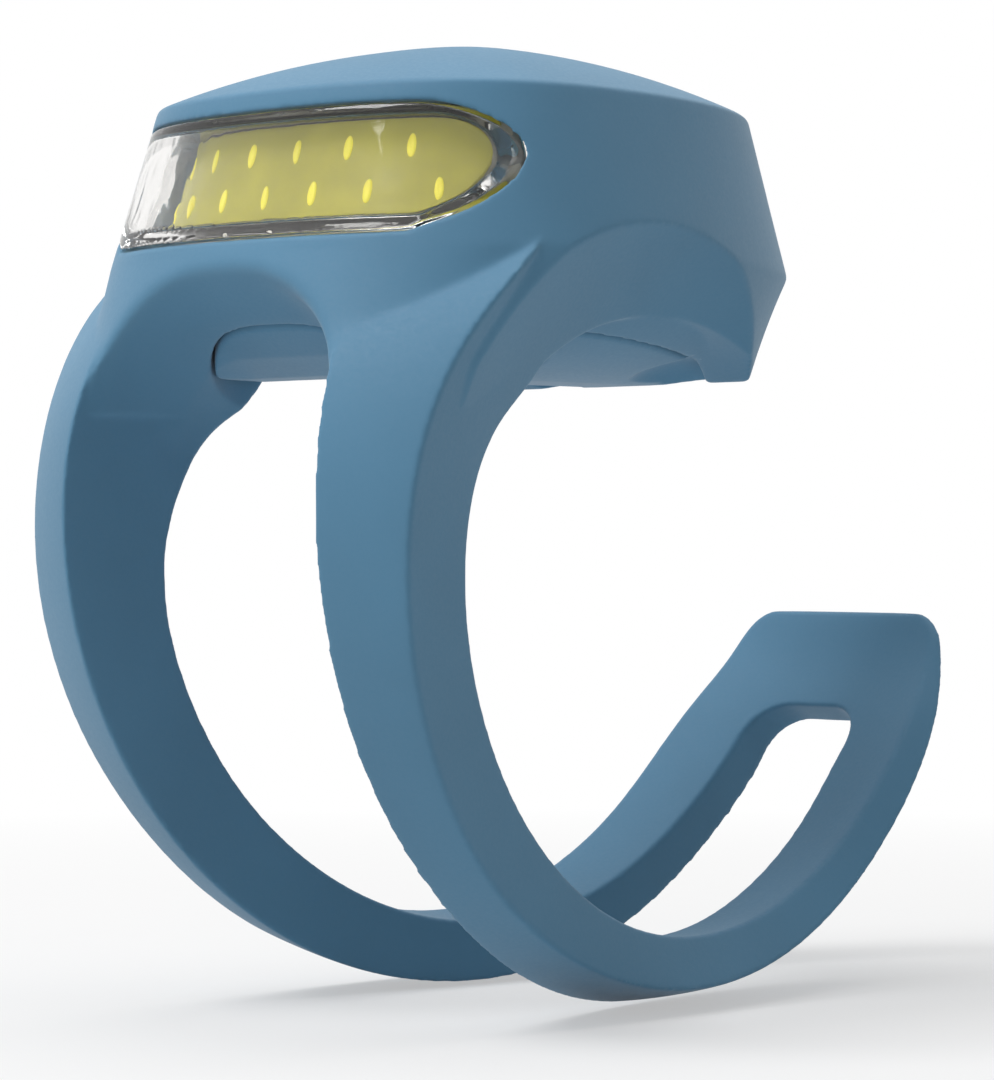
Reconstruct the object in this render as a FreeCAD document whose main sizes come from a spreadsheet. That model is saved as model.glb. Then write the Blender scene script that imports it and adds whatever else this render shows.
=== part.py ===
import FreeCAD, Part
import math
import os
import Sketcher
from FreeCAD import Placement, Rotation, Vector

# A clip-on bicycle headlight. A soft silicone moulding holds a sealed hard core with the lamp
# in it, and two legs of the same silicone loop under the handlebar and end in a hooked tab.
# Frame: origin on the handlebar's axis, X along the bar, -Y ahead of the bicycle, +Z up.
# Millimetres and degrees.

DOC = FreeCAD.newDocument("bicycle_headlight")
SHEET = DOC.addObject("Spreadsheet::Sheet", "Sizes")

SIZES = {
    # Head of the moulding, as plan outlines at rising heights under a dome
    "widest_y": -8.0,
    "crest_y": -4.0,
    "crest_z": 28.4,
    "top_edge_z": 25.2,
    "top_side_inset": 2.6,
    "top_front": 18.6,
    "top_rear": 13.1,
    "ridge_z": 17.1,
    "ridge_half_width": 16.2,
    "ridge_front": 20.6,
    "ridge_rear": 17.8,
    "lip_z": 11.4,
    "lip_side_inset": -0.2,
    "lip_front": 23.0,
    "lip_rear": 13.6,
    "chin_z": 9.5,
    "chin_side_inset": 0.4,
    "chin_front": 23.2,
    "chin_rear": 14.0,
    "chin_back_y": -10.0,
    "outline_squareness": 2.5,
    "tail_squareness": 1.6,
    "top_squareness": 2.0,
    # Bevelled flank beside the bar, a cone on each side of the head
    "flank_inner_inset": 5.2,
    "flank_inner_radius": 14.7,
    "flank_inner_y": -1.0,
    "flank_inner_z": -0.3,
    "flank_outer_inset": 0.7,
    "flank_outer_radius": 24.1,
    "flank_outer_y": -2.5,
    "flank_outer_z": -5.3,
    # Underside, a barrel curve across the bar that rises at the heel and more at its end
    "belly_radius": 21.0,
    "belly_z": 11.3,
    "heel_y": 8.0,
    "heel_slope": 0.2,
    "heel_end_y": 13.6,
    "heel_end_slope": 0.75,
    # Opening between the legs, where it rolls up into the chin, rounder and narrower ahead
    "arch_half_width": 9.9,
    "arch_start": 12.5,
    "arch_rise": 4.8,
    "arch_roll": 1.5,
    "arch_corner": 3.6,
    "arch_corner_growth": 4.4,
    "arch_foot_z": 5.5,
    "arch_draft": 0.9,
    # Silicone wall and the sealed core inside it
    "sleeve_wall": 2.0,
    "flank_wall": 1.2,
    "core_gap": 0.1,
    "core_wall": 1.2,
    "core_split_z": 15.0,
    "seal_edge": 0.2,
    "seal_width": 0.6,
    "seal_thickness": 0.4,
    # Lens window
    "lens_z": 21.0,
    "lens_height": 6.2,
    "lens_side_margin": 2.5,
    "lens_end_reach": 4.4,
    "lens_back_y": -12.5,
    "lens_wall": 1.1,
    "lens_depth": 2.6,
    "lens_rim_height": 0.5,
    "lens_rim_end": 1.6,
    "lens_seal_thickness": 0.4,
    # Lamp panel behind the lens
    "panel_depth": 2.4,
    "panel_margin_height": 0.6,
    "panel_margin_end": 2.6,
    "led_board_thickness": 0.8,
    "led_board_margin": 0.6,
    "die_size": 0.9,
    "die_height": 0.3,
    "die_end_inset": 4.1,
    "die_row_gap": 2.2,
    "flex_width": 6.0,
    "flex_lap": 1.0,
    "flex_thickness": 0.2,
    # Underside cover
    "cover_side_inset": 7.0,
    "cover_front": 17.3,
    "cover_rear": 12.6,
    "cover_groove": 0.15,
    "scoop_radius": 5.0,
    "scoop_depth": 0.7,
    "scoop_x": 5.2,
    "scoop_rear_y": 6.5,
    "scoop_front_y": -6.5,
    "post_radius": 0.8,
    "post_front_inset": 1.8,
    "post_front_y": -8.0,
    "post_rear_inset": 4.8,
    "post_rear_y": 6.0,
    # Circuit board and what stands on it
    "pcb_z": 21.0,
    "pcb_thickness": 0.8,
    "pcb_side_inset": 6.4,
    "pcb_front": 13.6,
    "pcb_rear": 10.2,
    "chip_size": 3.0,
    "chip_height": 0.8,
    "chip_x": 5.6,
    "chip_y": -6.0,
    "coil_size": 3.2,
    "coil_height": 1.5,
    "coil_y": 2.2,
    "capacitor_length": 1.6,
    "capacitor_width": 0.8,
    "capacitor_height": 0.8,
    "capacitor_pitch": 1.8,
    "capacitor_y": -10.2,
    "resistor_length": 1.0,
    "resistor_width": 0.5,
    "resistor_height": 0.35,
    "resistor_pitch": 1.2,
    "resistor_y": 6.6,
    "beacon_size": 1.6,
    "beacon_height": 0.6,
    "beacon_y": 8.6,
    # Battery
    "cell_length": 14.0,
    "cell_width": 12.2,
    "cell_height": 3.8,
    "cell_y": -2.5,
    "cell_corner": 0.8,
    "pad_thickness": 0.5,
    "pad_margin": 1.0,
    "tab_width": 2.0,
    "tab_thickness": 0.2,
    "tab_x": 3.6,
    "tab_drop": 3.0,
    # Charging port
    "port_width": 7.6,
    "port_length": 5.0,
    "port_height": 2.5,
    "port_wall": 0.35,
    "port_rear": 11.8,
    "port_clearance": 0.2,
    "tongue_width": 5.0,
    "tongue_height": 0.6,
    "tongue_length": 3.4,
    # Power key under the dome
    "switch_y": -3.5,
    "switch_width": 3.4,
    "switch_height": 0.9,
    "switch_bore_depth": 0.8,
    "stem_radius": 0.9,
    "stem_gap": 0.05,
    "stem_height": 0.5,
    "stem_depth": 0.3,
    "key_radius": 4.0,
    "key_flange_radius": 5.0,
    "key_flange_drop": 4.5,
    "key_flange_height": 0.6,
    "key_top_drop": 2.45,
    "key_post_radius": 1.2,
    "key_gap": 0.1,
    "boss_radius": 3.0,
    # Strap: where it is parted, and the slot that narrows outwards, with its flat end
    "leg_top_angle": 152.0,
    "bend_start_angle": 250.0,
    "bend_end_angle": 272.0,
    "slot_draft": 0.35,
    "slot_overshoot": 1.5,
    "slot_end_angle": 339.5,
    "slot_end_half_width": 3.8,
    "slot_end_corner": 2.4,
    "slot_end_middle_reach": 24.3,
    "slot_end_depth": 5.6,
}

# Strap stations round the bar: angle from +Y towards +Z, radii of the inner face's sides, the
# ridge and the crown, how deep the inner face is hollowed across, how far its sides and the ridge
# stand in from the head's side, and the slot's half width midway through the strap.
STATION_SIZES = (
    "angle", "inner_radius", "ridge_radius", "crown_radius", "hollow",
    "inner_inset", "ridge_inset", "slot_half_width",
)
STATIONS = {
    "brow": (128.0, 15.1, 22.2, 24.5, 0.05, 5.2, 1.0, 8.6),
    "shoulder": (144.0, 15.3, 22.3, 25.8, 0.05, 5.0, 1.2, 8.8),
    "collar": (158.0, 16.0, 22.1, 25.8, 0.05, 4.3, 1.9, 9.3),
    "front": (176.0, 16.0, 21.3, 24.2, 0.05, 3.9, 2.4, 9.45),
    "shin": (200.0, 15.3, 20.1, 22.2, 0.05, 4.3, 3.2, 9.15),
    "lower": (228.0, 15.2, 19.3, 20.9, 0.1, 5.0, 4.2, 8.5),
    "under": (261.0, 16.4, 19.4, 20.8, 0.4, 5.8, 4.4, 6.9),
    "rise": (298.0, 18.6, 20.6, 22.4, 0.8, 6.8, 5.3, 4.95),
    "back": (325.0, 20.8, 22.4, 24.4, 0.9, 7.35, 6.2, 4.2),
    "neck": (345.0, 23.6, 24.8, 26.7, 0.8, 8.1, 7.3, 3.7),
    "brim": (352.0, 25.3, 26.0, 27.4, 0.5, 8.9, 8.4, 3.6),
    "rim": (355.3, 26.0, 26.5, 27.5, 0.3, 9.4, 9.1, 3.6),
    "tip": (357.8, 26.5, 26.8, 27.6, 0.2, 10.9, 10.7, 3.6),
}


def fill_sheet():
    rows = dict(SIZES)
    for name, values in STATIONS.items():
        for quantity, value in zip(STATION_SIZES, values):
            rows[f"{name}_{quantity}"] = value
    for row, (alias, value) in enumerate(rows.items(), start=1):
        SHEET.set(f"A{row}", alias)
        SHEET.set(f"B{row}", str(value))
        SHEET.setAlias(f"B{row}", alias)
    DOC.recompute()


def size(alias):
    """One driving size, read back from the sheet."""
    return float(SHEET.get(alias))


def total(constant=0.0, **weights):
    """A sum of weighted sizes, as its value now and as the expression that keeps it."""
    value = constant
    terms = [f"{constant}"]
    for alias, weight in weights.items():
        value += weight * size(alias)
        terms.append(f"({weight}) * Sizes.{alias}")
    return value, " + ".join(terms)


NODES = []

# How far a cutter runs past what it cuts, in the open and beside other walls
OVERSHOOT = 6.0
OVERLAP = 0.5


def keep(obj, label):
    """Give a finished sub-part its name and list it for writing."""
    obj.Label = label
    NODES.append(obj)
    return obj


def shaped(label, shape):
    """A sub-part whose surfaces come from the lofts and cuts below."""
    feature = DOC.addObject("Part::Feature", label)
    feature.Shape = shape.Solids[0] if len(shape.Solids) == 1 else Part.makeCompound(shape.Solids)
    feature.Placement = Placement()
    return keep(feature, label)


# Head outlines


def plan_outline(z, half_width, front, rear, tail, scale=1.0):
    """Plan curve at height z: squarish ahead of its widest place, with its own tail behind.

    A scale under one draws the curve in towards the crest.
    """
    widest_y = size("widest_y")
    crest_y = size("crest_y")
    points = []
    steps = 32
    for step in range(steps):
        turn = 2 * math.pi * step / steps
        across = math.cos(turn)
        along = math.sin(turn)
        power = size("outline_squareness") if along < 0 else tail
        reach = rear - widest_y if along > 0 else front + widest_y
        x = half_width * math.copysign(abs(across) ** (2 / power), across)
        y = widest_y + reach * math.copysign(abs(along) ** (2 / power), along)
        points.append(Vector(x * scale, crest_y + (y - crest_y) * scale, z))
    curve = Part.BSplineCurve()
    curve.interpolate(Points=points, PeriodicFlag=True)
    return Part.Wire(curve.toShape())


def inside_head(inset):
    """How far out a place is that stands in from the head's side."""
    return size("ridge_half_width") - size(inset)


def level_outline(place, inset, drop=0.0):
    z = size("top_edge_z" if place == "top" else f"{place}_z") - drop
    side = size("ridge_half_width") if place == "ridge" else inside_head(f"{place}_side_inset")
    half_width = side - inset
    front = size(f"{place}_front") - inset
    rear = size(f"{place}_rear") - inset
    tail = size("top_squareness" if place == "top" else "tail_squareness")
    return z, half_width, front, rear, tail


def head_body(inset):
    """The head's outer form, or the same form drawn in by an inset on every side."""
    lip = level_outline("lip", inset)
    ridge = level_outline("ridge", inset)
    top = level_outline("top", inset, 0.5 * inset)
    lower = Part.makeLoft([plan_outline(*lip), plan_outline(*ridge)], True, True)
    upper = Part.makeLoft([plan_outline(*ridge), plan_outline(*top)], True, True)
    top_z, half_width, front, rear, tail = top
    crest_z = size("crest_z") - inset
    rings = []
    for scale in (1.0, 0.8, 0.6, 0.4, 0.2):
        z = crest_z - (crest_z - top_z) * scale ** 2
        rings.append(plan_outline(z, half_width, front, rear, tail, scale))
    dome = Part.makeLoft(rings + [Part.Vertex(0, size("crest_y"), crest_z)], True, False)
    return lower.fuse([upper, dome]).removeSplitter()


HEADS = {}


def head(inset):
    """The drawn-in head form for an inset, made once."""
    if inset not in HEADS:
        HEADS[inset] = head_body(inset)
    return HEADS[inset]


def layer(outer_inset, inner_inset):
    """The skin between two insets of the head."""
    return head(outer_inset).cut(head(inner_inset))


def chin():
    """Front of the head below its lip, where it runs down into the legs."""
    upper = plan_outline(*level_outline("lip", 0.0))
    lower = plan_outline(*level_outline("chin", 0.0))
    reach = 80.0
    front_half = Part.makeBox(reach, reach, reach, Vector(-reach / 2, size("chin_back_y") - reach, 0))
    return Part.makeLoft([lower, upper], True, True).common(front_half)


def belly_barrel():
    """Everything above the barrel-curved underside."""
    radius = size("belly_radius")
    reach = 80.0
    axis_z = size("belly_z") + radius
    return Part.makeCylinder(radius, reach, Vector(0, -reach / 2, axis_z), Vector(0, 1, 0))


def underside_cutters():
    """Round tunnel along the bar up to the barrel-curved underside, and the rising heel."""
    reach = inside_head("flank_inner_inset")
    centre = Vector(-reach, size("flank_inner_y"), size("flank_inner_z"))
    tunnel = Part.makeCylinder(size("flank_inner_radius"), 2 * reach, centre, Vector(1, 0, 0))
    heel_y = size("heel_y")
    bend_y = size("heel_end_y")
    bend_z = size("lip_z") + size("heel_slope") * (bend_y - heel_y)
    far_y = size("ridge_rear") + OVERSHOOT
    width = size("ridge_half_width") + OVERSHOOT
    corners = [
        Vector(-width, heel_y, size("lip_z")),
        Vector(-width, bend_y, bend_z),
        Vector(-width, far_y, bend_z + size("heel_end_slope") * (far_y - bend_y)),
        Vector(-width, far_y, 0),
        Vector(-width, heel_y, 0),
    ]
    heel = Part.Face(Part.makePolygon(corners + [corners[0]])).extrude(Vector(2 * width, 0, 0))
    return [tunnel.cut(belly_barrel()), heel]


def flank_cones(wall=0.0):
    """Cutters that bevel both flanks of the head, or that stay a wall inside them."""
    inner_x = inside_head("flank_inner_inset")
    width = size("flank_inner_inset") - size("flank_outer_inset")
    growth = size("flank_outer_radius") - size("flank_inner_radius")
    shift = wall * math.hypot(1.0, growth / width)
    cones = []
    for side in (1, -1):
        rings = []
        for step in (-1.0, 2.6):
            radius = size("flank_inner_radius") + growth * step + shift
            y = size("flank_inner_y") + (size("flank_outer_y") - size("flank_inner_y")) * step
            z = size("flank_inner_z") + (size("flank_outer_z") - size("flank_inner_z")) * step
            centre = Vector(side * (inner_x + width * step), y, z)
            rings.append(Part.Wire(Part.Circle(centre, Vector(1, 0, 0), radius).toShape()))
        cones.append(Part.makeLoft(rings, True, True))
    return cones


def arch_wire(y, half_width, top_z, corner):
    """Round-cornered arch outline across the bar, its feet on the legs' inner walls."""
    foot_z = size("arch_foot_z")
    bend = corner * (1 - math.sqrt(0.5))
    left_foot = Vector(-half_width, y, foot_z)
    left_rise = Vector(-half_width, y, top_z - corner)
    left_bend = Vector(-half_width + bend, y, top_z - bend)
    left_top = Vector(-half_width + corner, y, top_z)
    right_top = Vector(half_width - corner, y, top_z)
    right_bend = Vector(half_width - bend, y, top_z - bend)
    right_rise = Vector(half_width, y, top_z - corner)
    right_foot = Vector(half_width, y, foot_z)
    edges = [
        Part.LineSegment(left_foot, left_rise).toShape(),
        Part.Arc(left_rise, left_bend, left_top).toShape(),
        Part.LineSegment(left_top, right_top).toShape(),
        Part.Arc(right_top, right_bend, right_rise).toShape(),
        Part.LineSegment(right_rise, right_foot).toShape(),
        Part.LineSegment(right_foot, left_foot).toShape(),
    ]
    return Part.Wire(edges)


def arch_cutter(lift=0.0):
    """Space between the legs that rolls up under the chin, or the same a lift higher."""
    start = size("arch_start")
    span = size("ridge_front") - start
    wires = []
    for step in (-0.6, 0.0, 0.35, 0.7, 1.0, 1.8):
        y = -start - span * step
        top_z = size("belly_z") + lift + size("arch_rise") * max(step, 0.0) ** size("arch_roll")
        ahead = min(max(step, 0.0), 1.0)
        half_width = size("arch_half_width") - size("arch_draft") * ahead
        corner = size("arch_corner") + size("arch_corner_growth") * ahead
        wires.append(arch_wire(y, half_width, top_z, corner))
    return Part.makeLoft(wires, True, True)


# Strap


def around(angle, x, radius):
    """Point at an angle and a radius round the bar, at a place across it."""
    turn = math.radians(angle)
    return Vector(x, radius * math.cos(turn), radius * math.sin(turn))


def strap_section(place):
    angle = place["angle"]
    inner_x = size("ridge_half_width") - place["inner_inset"]
    ridge_x = size("ridge_half_width") - place["ridge_inset"]
    near_inner = around(angle, inner_x, place["inner_radius"])
    far_inner = around(angle, -inner_x, place["inner_radius"])
    near_ridge = around(angle, ridge_x, place["ridge_radius"])
    far_ridge = around(angle, -ridge_x, place["ridge_radius"])
    crown = around(angle, 0, place["crown_radius"])
    hollow = around(angle, 0, place["inner_radius"] + place["hollow"])
    edges = [
        Part.Arc(far_inner, hollow, near_inner).toShape(),
        Part.LineSegment(near_inner, near_ridge).toShape(),
        Part.Arc(near_ridge, crown, far_ridge).toShape(),
        Part.LineSegment(far_ridge, far_inner).toShape(),
    ]
    return Part.Wire(edges)


def slot_section(angle, half_width, middle, depth):
    """Cross section of the slot, wider at the bar than outside, and deeper than the strap."""
    flare = size("slot_draft")
    corners = [
        around(angle, -half_width - flare, middle - depth / 2),
        around(angle, half_width + flare, middle - depth / 2),
        around(angle, half_width - flare, middle + depth / 2),
        around(angle, -half_width + flare, middle + depth / 2),
    ]
    return Part.makePolygon(corners + [corners[0]])


def slot_end():
    """Flat end of the slot with its two round corners, drafted like the slot."""
    angle = size("slot_end_angle")
    flare = size("slot_draft")
    corner = size("slot_end_corner")
    depth = size("slot_end_depth")
    straight = size("slot_end_half_width") - corner
    inner = size("slot_end_middle_reach") - depth / 2
    far_low = around(angle, -straight, inner)
    far_high = around(angle, -straight, inner + depth)
    low_rise = around(angle + 90, 0, corner + flare)
    high_rise = around(angle + 90, 0, corner - flare)
    outline = [far_low, far_low + low_rise, far_high + high_rise, far_high, far_low]
    flat = Part.Face(Part.makePolygon(outline)).extrude(Vector(2 * straight, 0, 0))
    outward = around(angle, 0, 1.0)
    rounds = []
    for side in (1, -1):
        base = around(angle, side * straight, inner)
        rounds.append(Part.makeCone(corner + flare, corner - flare, depth, base, outward))
    return [flat] + rounds


def slot_cutter(places):
    """The long gap between the two legs, closed below the tab by a flat end with round corners."""
    end_angle = size("slot_end_angle")
    sections = []
    for place in places:
        if place["angle"] < end_angle:
            middle = (place["inner_radius"] + place["crown_radius"]) / 2
            depth = place["crown_radius"] - place["inner_radius"] + 2 * size("slot_overshoot")
            sections.append(slot_section(place["angle"], place["slot_half_width"], middle, depth))
    middle = size("slot_end_middle_reach")
    half_width = size("slot_end_half_width")
    sections.append(slot_section(end_angle, half_width, middle, size("slot_end_depth")))
    return Part.makeLoft(sections, True, False).fuse(slot_end())


def wedge(start, stop):
    """Wedge of space round the bar between two angles less than half a turn apart."""
    reach = 90.0
    width = 30.0
    corners = [Vector(-width, 0, 0)]
    for angle in (start, (start + stop) / 2, stop):
        corners.append(around(angle, -width, reach))
    face = Part.Face(Part.makePolygon(corners + [corners[0]]))
    return face.extrude(Vector(2 * width, 0, 0))


# Window and cover outlines


def end_curve(end_x, y, z, reach, half_height, side):
    """Half ellipse that closes one end of the lens outline."""
    points = []
    steps = 8
    for step in range(steps + 1):
        turn = math.pi / 2 - math.pi * step / steps
        x = side * (end_x + reach * math.cos(turn))
        points.append(Vector(x, y, z + half_height * math.sin(turn)))
    curve = Part.BSplineCurve()
    outward = Vector(side, 0, 0)
    curve.interpolate(Points=points, InitialTangent=outward, FinalTangent=outward * -1)
    return curve.toShape()


def lens_wire(rise, spread, y):
    """Lens outline from ahead, grown in height and in length: straight edges, elliptical ends."""
    reach = size("lens_end_reach") + spread
    half_height = size("lens_height") / 2 + rise
    end_x = inside_head("lens_side_margin") - size("lens_end_reach")
    z = size("lens_z")
    top_near = Vector(end_x, y, z + half_height)
    top_far = Vector(-end_x, y, z + half_height)
    bottom_near = Vector(end_x, y, z - half_height)
    bottom_far = Vector(-end_x, y, z - half_height)
    edges = [
        Part.LineSegment(top_far, top_near).toShape(),
        end_curve(end_x, y, z, reach, half_height, 1),
        Part.LineSegment(bottom_near, bottom_far).toShape(),
        end_curve(end_x, y, z, reach, half_height, -1),
    ]
    return Part.Wire(Part.sortEdges(edges)[0])


def lens_prism(rise, spread):
    """Straight prism of the lens outline, from ahead of the head to behind the lens."""
    front_y = -size("ridge_front") - OVERSHOOT
    face = Part.Face(lens_wire(rise, spread, front_y))
    return face.extrude(Vector(0, size("lens_back_y") - front_y, 0))


def lens_hollow():
    """Prism of what the lens's rim leaves open."""
    return lens_prism(-size("lens_rim_height"), -size("lens_rim_end"))


def cover_prism(grow, bottom_z, top_z):
    """Straight prism of the underside cover's plan outline."""
    half_width = inside_head("cover_side_inset") + grow
    front = size("cover_front") + grow
    rear = size("cover_rear") + grow
    outline = plan_outline(bottom_z, half_width, front, rear, size("top_squareness"))
    return Part.Face(outline).extrude(Vector(0, 0, top_z - bottom_z))


def above(z):
    reach = 80.0
    return Part.makeBox(reach, reach, reach, Vector(-reach / 2, -reach / 2, z))


def core_form(inset):
    """The core's form: the head drawn in, flat below, and clear of the flanks and the chin."""
    form = head(inset).common(above(size("core_split_z")))
    wall = size("flank_wall") + inset - size("sleeve_wall")
    return form.cut(flank_cones(wall) + [arch_cutter(1.3 * wall)])


def upright(x, y, bottom_z, top_z, radius):
    return Part.makeCylinder(radius, top_z - bottom_z, Vector(x, y, bottom_z))


# Silicone moulding


def silicone_moulding():
    places = [{q: size(f"{name}_{q}") for q in STATION_SIZES} for name in STATIONS]
    top = head(0.0).fuse(chin()).cut(flank_cones() + underside_cutters())
    strap = Part.makeLoft([strap_section(place) for place in places], True, False)
    moulding = top.fuse(strap.cut(slot_cutter(places))).cut(arch_cutter())
    moulding = moulding.cut(core_form(size("sleeve_wall")))
    opening = cover_prism(size("cover_groove"), size("lip_z") - OVERSHOOT, size("core_split_z"))
    gap = size("core_gap")
    moulding = moulding.cut([opening, lens_prism(gap, gap)])
    boss_top = size("crest_z") - 0.5 * size("sleeve_wall")
    boss_bottom = size("crest_z") - size("key_top_drop")
    boss = upright(0, size("switch_y"), boss_bottom, boss_top, size("boss_radius"))
    return moulding.fuse(boss)


def part_moulding():
    """The one-piece moulding, parted where it bends so that the strap can open."""
    moulding = silicone_moulding()
    bend_start = size("bend_start_angle")
    bend_end = size("bend_end_angle")
    leg_zone = wedge(size("leg_top_angle"), bend_start)
    legs = moulding.common(leg_zone)
    reach = 120.0
    right_half = Part.makeBox(reach, reach, reach, Vector(0, -reach / 2, -reach / 2))
    shaped("right_leg", legs.common(right_half))
    shaped("left_leg", legs.cut(right_half))
    bend_zone = wedge(bend_start, bend_end)
    shaped("strap_bends", moulding.common(bend_zone))
    hook_zone = wedge(bend_end, size("tip_angle") + 1)
    shaped("strap_hook", moulding.common(hook_zone))
    shaped("head_sleeve", moulding.cut([leg_zone, bend_zone, hook_zone]))


# Hard core


def cover_opening():
    """Opening in the core's floor, inside the seal's ring."""
    inset = size("seal_edge") + size("seal_width")
    split_z = size("core_split_z")
    return cover_prism(-inset, split_z - OVERLAP, split_z + size("core_wall") + OVERLAP)


def port_space(grow):
    width = size("port_width") + 2 * grow
    height = size("port_height") + 2 * grow
    start_y = size("port_rear") - size("port_length") - grow
    base = Vector(-width / 2, start_y, size("pcb_z") - size("port_height") - grow)
    return Part.makeBox(width, size("port_length") + OVERSHOOT, height, base)


def core_shell():
    outer = size("sleeve_wall") + size("core_gap")
    inner = outer + size("core_wall")
    cavity = core_form(inner).common(above(size("core_split_z") + size("core_wall")))
    front = size("lens_depth") + size("lens_seal_thickness")
    gap = size("core_gap")
    seat = layer(0.0, front).common(lens_prism(gap, gap))
    window = lens_prism(gap - size("panel_margin_height"), gap - size("panel_margin_end"))
    bore_radius = size("key_radius") + size("key_gap")
    bore_bottom = size("crest_z") - size("key_flange_drop")
    bore = upright(0, size("switch_y"), bore_bottom, size("crest_z"), bore_radius)
    port = port_space(size("port_clearance"))
    return core_form(outer).cut([cavity, cover_opening(), seat, window, bore, port])


def seal_ring():
    split_z = size("core_split_z")
    bottom_z = split_z - size("seal_thickness")
    edge = size("seal_edge")
    ring = cover_prism(-edge, bottom_z, split_z)
    hole = cover_prism(-edge - size("seal_width"), bottom_z - OVERLAP, split_z + OVERLAP)
    return ring.cut(hole)


def scoop(x, y):
    """Finger scoop: a ball that bites into the barrel-curved underside."""
    belly_radius = size("belly_radius")
    axis_z = size("belly_z") + belly_radius
    ball = size("scoop_radius")
    reach = belly_radius - size("scoop_depth") + ball
    lean = x / belly_radius
    centre = Vector(reach * math.sin(lean), y, axis_z - reach * math.cos(lean))
    return Part.makeSphere(ball, centre)


def lower_cover():
    split_z = size("core_split_z")
    cover = cover_prism(0.0, size("lip_z"), split_z)
    cutters = underside_cutters() + [arch_cutter(), seal_ring()]
    for y in (size("scoop_rear_y"), size("scoop_front_y")):
        for side in (1, -1):
            cutters.append(scoop(side * size("scoop_x"), y))
    posts = []
    for place in ("front", "rear"):
        for side in (1, -1):
            x = side * (inside_head("cover_side_inset") - size(f"post_{place}_inset"))
            y = size(f"post_{place}_y")
            posts.append(upright(x, y, split_z - OVERLAP, size("pcb_z"), size("post_radius")))
    return cover.cut(cutters).fuse(posts)


# Lamp


def lens():
    tub = layer(0.0, size("lens_depth")).common(lens_prism(0.0, 0.0))
    return tub.cut(head(size("lens_wall")).common(lens_hollow()))


def lens_seal():
    depth = size("lens_depth")
    ring = layer(depth, depth + size("lens_seal_thickness")).common(lens_prism(0.0, 0.0))
    return ring.cut(lens_hollow())


def led_places():
    """Middle points of the lamp dies, in two staggered rows between the ends of the lens."""
    outermost = inside_head("lens_side_margin") - size("die_end_inset")
    gaps = 6
    pitch = 2 * outermost / gaps
    places = []
    for row, count in ((0.5, gaps), (-0.5, gaps + 1)):
        for index in range(count):
            x = (index - (count - 1) / 2) * pitch
            places.append((x, size("lens_z") + row * size("die_row_gap")))
    return places


def led_dies(board_inset):
    skin = layer(board_inset - size("die_height"), board_inset)
    side = size("die_size")
    front_y = -size("ridge_front")
    dies = []
    for x, z in led_places():
        corner = Vector(x - side / 2, front_y, z - side / 2)
        post = Part.makeBox(side, size("lens_back_y") - front_y, side, corner)
        dies.append(skin.common(post))
    return Part.makeCompound(dies)


def lamp():
    board_inset = size("sleeve_wall") + size("core_gap") + size("core_wall")
    dies = led_dies(board_inset)
    outline = lens_prism(-size("panel_margin_height"), -size("panel_margin_end"))
    phosphor = layer(size("panel_depth"), board_inset).common(outline)
    shaped("phosphor_panel", phosphor.cut(dies))
    shaped("led_dies", dies)
    back_inset = board_inset + size("led_board_thickness")
    margin = size("led_board_margin")
    shaped("led_board", layer(board_inset, back_inset).common(lens_prism(-margin, -margin)))
    shaped("lens", lens())
    shaped("lens_seal", lens_seal())
    board_top = size("pcb_z") + size("pcb_thickness")
    lap_y = -size("pcb_front") + size("flex_lap")
    width = size("flex_width")
    start = Vector(-width / 2, -size("ridge_front"), board_top)
    ribbon = Part.makeBox(width, lap_y + size("ridge_front"), size("flex_thickness"), start)
    shaped("led_flex", ribbon.common(head(back_inset)))


# Inner pieces with flat faces


def bind(obj, **sizes):
    """Tie properties of an object to sums of sizes."""
    for name, (_, expression) in sizes.items():
        obj.setExpression(name, expression)


def block(name, width, depth, height, x, y, z):
    """A box given by its sizes and by the middle of its bottom face."""
    box = DOC.addObject("Part::Box", name)
    bind(box, Length=width, Width=depth, Height=height)
    box.setExpression("Placement.Base.x", f"{x[1]} - ({width[1]}) / 2")
    box.setExpression("Placement.Base.y", f"{y[1]} - ({depth[1]}) / 2")
    box.setExpression("Placement.Base.z", z[1])
    return box


def blocks(label, boxes):
    group = DOC.addObject("Part::Compound", label)
    group.Links = boxes
    return keep(group, label)


def new_body(label):
    return keep(DOC.addObject("PartDesign::Body", label), label)


def sketch_on(body, role, offset):
    """An empty sketch on one of the body's own planes, moved along that plane's normal."""
    sketch = body.newObject("Sketcher::SketchObject", f"{body.Name}_sketch")
    planes = [plane for plane in body.Origin.OriginFeatures if plane.Role == role]
    sketch.AttachmentSupport = [(planes[0], "")]
    sketch.MapMode = "FlatFace"
    sketch.AttachmentOffset = Placement(Vector(0, 0, offset[0]), Rotation())
    sketch.setExpression("AttachmentOffset.Base.z", offset[1])
    return sketch


def draw_polygon(sketch, corners):
    """Closed run of straight lines whose corners are bound to sums of sizes."""
    count = len(corners)
    for index in range(count):
        (x0, _), (y0, _) = corners[index]
        (x1, _), (y1, _) = corners[(index + 1) % count]
        sketch.addGeometry(Part.LineSegment(Vector(x0, y0, 0), Vector(x1, y1, 0)), False)
    for index in range(count):
        following = (index + 1) % count
        sketch.addConstraint(Sketcher.Constraint("Coincident", index, 2, following, 1))
    for index in range(count):
        for direction, (value, expression) in zip(("DistanceX", "DistanceY"), corners[index]):
            place = sketch.addConstraint(Sketcher.Constraint(direction, -1, 1, index, 1, value))
            sketch.setExpression(f"Constraints[{place}]", expression)
    return sketch


def draw_rectangle(sketch, left, right, low, high):
    return draw_polygon(sketch, [(left, low), (right, low), (right, high), (left, high)])


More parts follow.
